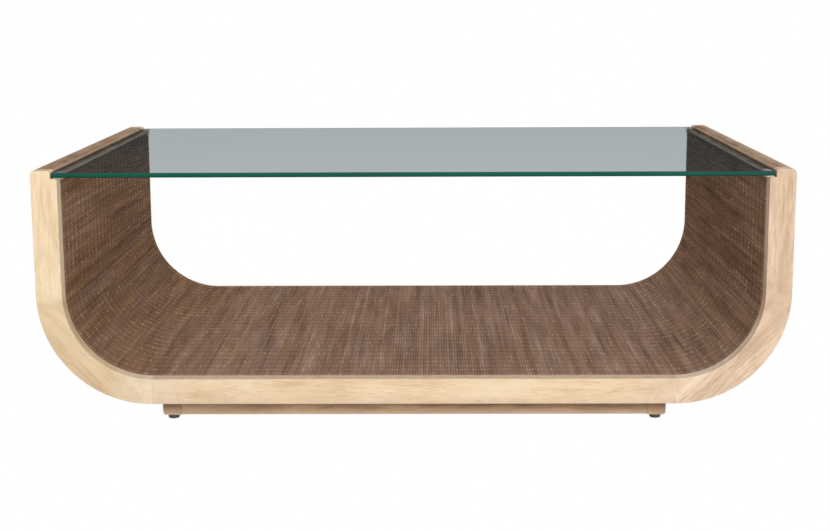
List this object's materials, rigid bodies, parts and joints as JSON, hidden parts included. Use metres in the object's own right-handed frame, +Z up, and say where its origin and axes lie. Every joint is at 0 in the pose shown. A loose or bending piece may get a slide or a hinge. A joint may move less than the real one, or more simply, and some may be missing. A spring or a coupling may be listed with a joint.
{
  "type": "coffee table",
  "caption": "Low table with a U-shaped pale wood frame lined in woven cane, a lift-off glass top in side rabbets, and a recessed plinth on levelling feet.",
  "frame": {"origin": "on the floor, under the middle of the table", "axes": "+X to the right along the length, +Y from the front to the back, +Z up"},
  "size_m": [1.27, 0.838, 0.445],
  "materials": {
    "pale_oak": "limed open grain, matte",
    "top_oak": "limed open grain, matte",
    "plinth_oak": "brown open grain, matte",
    "plywood": "bare plywood",
    "beech": "bare turned or milled wood",
    "woven_cane": "brown stained split cane, low sheen",
    "glass": "clear toughened float glass, polished green edge",
    "clear_pad": "milky soft pad",
    "steel": "zinc plated",
    "foot_nylon": "black nylon pad on a steel stud"
  },
  "bodies": {
    "table": {"back_bottom_rail": "pale_oak", "back_floor_bearer": "plywood", "back_left_corner": "pale_oak", "back_left_corner_block": "plywood", "back_left_glass_pad": "clear_pad", "back_left_insert": "steel", "back_left_plinth_screw": "steel", "back_left_rail_spline": "beech", "back_left_top_dowel": "beech", "back_left_upright": "pale_oak", "back_left_upright_spline": "beech", "back_rib": "plywood", "back_right_corner": "pale_oak", "back_right_corner_block": "plywood", "back_right_glass_pad": "clear_pad", "back_right_insert": "steel", "back_right_plinth_screw": "steel", "back_right_rail_spline": "beech", "back_right_top_dowel": "beech", "back_right_upright": "pale_oak", "back_right_upright_spline": "beech", "front_bottom_rail": "pale_oak", "front_floor_bearer": "plywood", "front_left_corner": "pale_oak", "front_left_corner_block": "plywood", "front_left_glass_pad": "clear_pad", "front_left_insert": "steel", "front_left_plinth_screw": "steel", "front_left_rail_spline": "beech", "front_left_top_dowel": "beech", "front_left_upright": "pale_oak", "front_left_upright_spline": "beech", "front_rib": "plywood", "front_right_corner": "pale_oak", "front_right_corner_block": "plywood", "front_right_glass_pad": "clear_pad", "front_right_insert": "steel", "front_right_plinth_screw": "steel", "front_right_rail_spline": "beech", "front_right_top_dowel": "beech", "front_right_upright": "pale_oak", "front_right_upright_spline": "beech", "left_side_rib": "plywood", "left_top_rail": "top_oak", "lining_panel": "plywood", "middle_floor_bearer": "plywood", "outer_skin": "pale_oak", "plinth_back_rail": "plinth_oak", "plinth_front_rail": "plinth_oak", "plinth_left_rail": "plinth_oak", "plinth_right_rail": "plinth_oak", "right_side_rib": "plywood", "right_top_rail": "top_oak", "woven_lining": "woven_cane"},
    "glass": {"glass_top": "glass"},
    "front_left_leveller": {"front_left_foot": "foot_nylon"},
    "front_right_leveller": {"front_right_foot": "foot_nylon"},
    "back_left_leveller": {"back_left_foot": "foot_nylon"},
    "back_right_leveller": {"back_right_foot": "foot_nylon"}
  },
  "joints": [
    {"name": "glass_lift", "type": "slide", "parent": "table", "child": "glass", "axis": [0, 0, 1], "range_m": [0, 0.06]},
    {"name": "front_left_foot_height", "type": "slide", "parent": "table", "child": "front_left_leveller", "axis": [0, 0, -1], "range_m": [0, 0.01]},
    {"name": "front_right_foot_height", "type": "slide", "parent": "table", "child": "front_right_leveller", "axis": [0, 0, -1], "range_m": [0, 0.01]},
    {"name": "back_left_foot_height", "type": "slide", "parent": "table", "child": "back_left_leveller", "axis": [0, 0, -1], "range_m": [0, 0.01]},
    {"name": "back_right_foot_height", "type": "slide", "parent": "table", "child": "back_right_leveller", "axis": [0, 0, -1], "range_m": [0, 0.01]}
  ]
}
